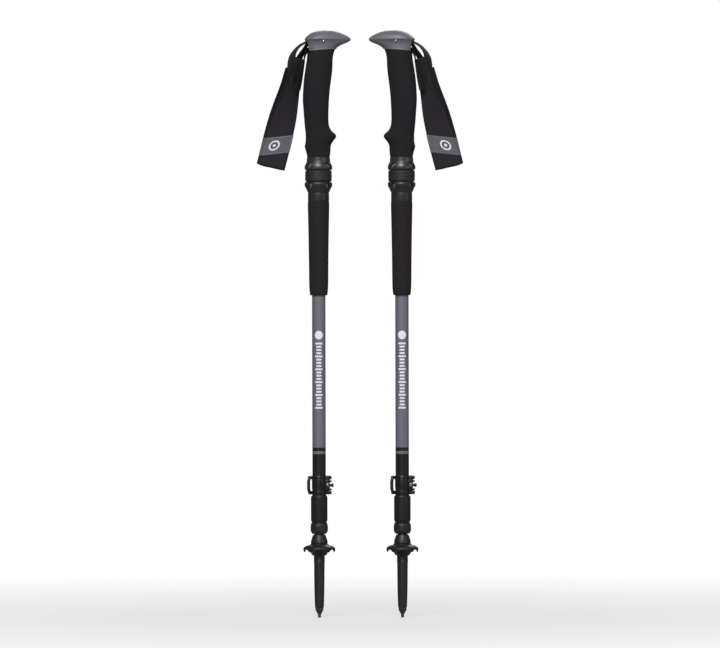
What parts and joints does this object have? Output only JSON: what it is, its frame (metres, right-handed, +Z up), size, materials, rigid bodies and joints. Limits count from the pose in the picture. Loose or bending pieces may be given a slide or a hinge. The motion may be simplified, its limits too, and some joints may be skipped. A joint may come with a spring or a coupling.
{
  "type": "trekking poles",
  "caption": "Collapsed telescoping trekking poles with beaked grips, wrist loops, shock absorbers, cam-lever locks, small baskets and hard tips.",
  "frame": {"origin": "on the ground, midway between the two tips", "axes": "+Z up along both poles, +X from the left pole to the right one, -Y out of the locks' screw heads"},
  "size_m": [0.26, 0.0394, 0.7306],
  "materials": {
    "knob": "soft-touch, faint sheen",
    "grip_foam": "matt closed-cell foam",
    "grip_core": "moulded",
    "strap_pin": "bright",
    "strap_webbing": "woven webbing",
    "strap_pad": "padded knit",
    "strap_band": "woven, grey",
    "upper_cup": "semi-gloss",
    "shock_boot": "finely ribbed",
    "shock_elastomer": "copper coloured, smooth",
    "lower_cup": "semi-gloss",
    "stop_ring": "moulded",
    "foam_extension": "matt closed-cell foam",
    "upper_tube": "satin anodised grey, black foot",
    "lock_clamp": "moulded, fine texture",
    "lock_lever": "satin black anodised",
    "lever_pin": "blackened",
    "tension_screw": "bright nickel",
    "middle_tube": "satin black anodised",
    "middle_bushing": "moulded",
    "release_housing": "moulded, satin",
    "release_collar": "moulded, satin",
    "release_spring": "spring wire",
    "lower_tube": "satin black anodised",
    "lower_bushing": "moulded",
    "lock_button": "turned steel",
    "flex_tip": "moulded, fine texture",
    "basket": "moulded, flexible",
    "tip_holder": "knurled steel",
    "carbide_tip": "sintered carbide"
  },
  "bodies": {
    "left_shaft": {"left_upper_tube": "upper_tube", "left_foam_extension": "foam_extension", "left_lower_cup": "lower_cup", "left_shock_elastomer": "shock_elastomer", "left_shock_boot": "shock_boot", "left_stop_ring": "stop_ring", "left_lock_clamp": "lock_clamp", "left_lever_pin": "lever_pin"},
    "left_grip": {"left_knob": "knob", "left_grip_foam": "grip_foam", "left_grip_core": "grip_core", "left_strap_pin": "strap_pin", "left_strap_webbing": "strap_webbing", "left_upper_cup": "upper_cup"},
    "left_strap": {"left_strap_pad": "strap_pad", "left_strap_band": "strap_band"},
    "left_lever": {"left_lock_lever": "lock_lever"},
    "left_screw": {"left_tension_screw": "tension_screw"},
    "left_middle": {"left_middle_tube": "middle_tube", "left_middle_bushing": "middle_bushing", "left_release_housing": "release_housing", "left_release_spring": "release_spring"},
    "left_collar": {"left_release_collar": "release_collar"},
    "left_lower": {"left_lower_tube": "lower_tube", "left_lower_bushing": "lower_bushing", "left_flex_tip": "flex_tip", "left_basket": "basket", "left_tip_holder": "tip_holder", "left_carbide_tip": "carbide_tip"},
    "left_button": {"left_lock_button": "lock_button"},
    "right_shaft": {"right_upper_tube": "upper_tube", "right_foam_extension": "foam_extension", "right_lower_cup": "lower_cup", "right_shock_elastomer": "shock_elastomer", "right_shock_boot": "shock_boot", "right_stop_ring": "stop_ring", "right_lock_clamp": "lock_clamp", "right_lever_pin": "lever_pin"},
    "right_grip": {"right_knob": "knob", "right_grip_foam": "grip_foam", "right_grip_core": "grip_core", "right_strap_pin": "strap_pin", "right_strap_webbing": "strap_webbing", "right_upper_cup": "upper_cup"},
    "right_strap": {"right_strap_pad": "strap_pad", "right_strap_band": "strap_band"},
    "right_lever": {"right_lock_lever": "lock_lever"},
    "right_screw": {"right_tension_screw": "tension_screw"},
    "right_middle": {"right_middle_tube": "middle_tube", "right_middle_bushing": "middle_bushing", "right_release_housing": "release_housing", "right_release_spring": "release_spring"},
    "right_collar": {"right_release_collar": "release_collar"},
    "right_lower": {"right_lower_tube": "lower_tube", "right_lower_bushing": "lower_bushing", "right_flex_tip": "flex_tip", "right_basket": "basket", "right_tip_holder": "tip_holder", "right_carbide_tip": "carbide_tip"},
    "right_button": {"right_lock_button": "lock_button"}
  },
  "joints": [
    {"name": "left_grip_travel", "type": "slide", "parent": "left_shaft", "child": "left_grip", "axis": [0, 0, -1], "range_m": [0, 0.006], "stiffness_N_per_m": 15000, "deforming": ["left_shock_elastomer", "left_shock_boot"]},
    {"name": "left_strap_swing", "type": "hinge", "parent": "left_grip", "child": "left_strap", "pos_m": [-0.08291, 0.00149, 0.69853], "axis": [0.3479, 0.9336, -0.086], "range_deg": [0, 110]},
    {"name": "left_lever_open", "type": "hinge", "parent": "left_shaft", "child": "left_lever", "pos_m": [-0.04115, 0.009, 0.16495], "axis": [0, 0, -1], "range_deg": [0, 150]},
    {"name": "left_screw_turn", "type": "hinge", "parent": "left_shaft", "child": "left_screw", "pos_m": [-0.04115, 0, 0.16495], "axis": [0, 1, 0], "continuous": true},
    {"name": "left_middle_slide", "type": "slide", "parent": "left_middle", "child": "left_shaft", "axis": [0, 0, 1], "range_m": [0, 0.335]},
    {"name": "left_collar_slide", "type": "slide", "parent": "left_middle", "child": "left_collar", "axis": [0, 0, 1], "range_m": [0, 0.0022], "stiffness_N_per_m": 400, "deforming": ["left_release_spring"]},
    {"name": "left_lower_slide", "type": "slide", "parent": "left_lower", "child": "left_middle", "axis": [0, 0, 1], "range_m": [0, 0.335]},
    {"name": "left_button_press", "type": "slide", "parent": "left_lower", "child": "left_button", "axis": [-1, 0, 0], "range_m": [0, 0.001], "stiffness_N_per_m": 500},
    {"name": "pole_spread", "type": "slide", "parent": "left_lower", "child": "right_lower", "axis": [1, 0, 0], "range_m": [0, 0.3]},
    {"name": "right_grip_travel", "type": "slide", "parent": "right_shaft", "child": "right_grip", "axis": [0, 0, -1], "range_m": [0, 0.006], "stiffness_N_per_m": 15000, "deforming": ["right_shock_elastomer", "right_shock_boot"]},
    {"name": "right_strap_swing", "type": "hinge", "parent": "right_grip", "child": "right_strap", "pos_m": [0.08291, 0.00149, 0.69853], "axis": [0.3479, -0.9336, 0.086], "range_deg": [0, 110]},
    {"name": "right_lever_open", "type": "hinge", "parent": "right_shaft", "child": "right_lever", "pos_m": [0.06235, 0.009, 0.16495], "axis": [0, 0, -1], "range_deg": [0, 150]},
    {"name": "right_screw_turn", "type": "hinge", "parent": "right_shaft", "child": "right_screw", "pos_m": [0.06235, 0, 0.16495], "axis": [0, 1, 0], "continuous": true},
    {"name": "right_middle_slide", "type": "slide", "parent": "right_middle", "child": "right_shaft", "axis": [0, 0, 1], "range_m": [0, 0.335]},
    {"name": "right_collar_slide", "type": "slide", "parent": "right_middle", "child": "right_collar", "axis": [0, 0, 1], "range_m": [0, 0.0022], "stiffness_N_per_m": 400, "deforming": ["right_release_spring"]},
    {"name": "right_lower_slide", "type": "slide", "parent": "right_lower", "child": "right_middle", "axis": [0, 0, 1], "range_m": [0, 0.335]},
    {"name": "right_button_press", "type": "slide", "parent": "right_lower", "child": "right_button", "axis": [-1, 0, 0], "range_m": [0, 0.001], "stiffness_N_per_m": 500}
  ]
}
